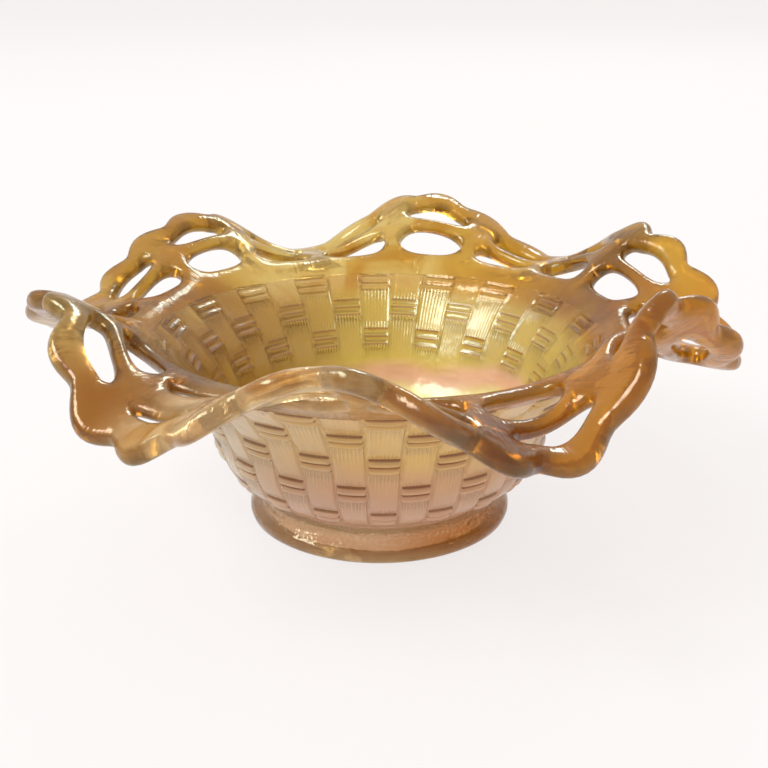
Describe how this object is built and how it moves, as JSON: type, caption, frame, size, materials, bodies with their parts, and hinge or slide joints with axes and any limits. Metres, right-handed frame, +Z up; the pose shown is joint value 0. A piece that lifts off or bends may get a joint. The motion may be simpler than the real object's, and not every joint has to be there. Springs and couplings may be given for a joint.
{
  "type": "bowl",
  "caption": "Round pressed-glass bowl on a collar base, with a basket-weave wall and a wide pierced rim pinched into ruffles.",
  "frame": {"origin": "centre of the flat resting face, on the bowl's axis", "axes": "+Z up along the bowl's axis, -Y towards the front, +X to the right"},
  "size_m": [0.1783, 0.178, 0.0755],
  "materials": {
    "marigold_glass": "gloss, with an iridescent spray on both faces"
  },
  "bodies": {
    "root": {"collar_base": "marigold_glass", "basket_body": "marigold_glass", "open_edge_rim": "marigold_glass"}
  },
  "joints": []
}
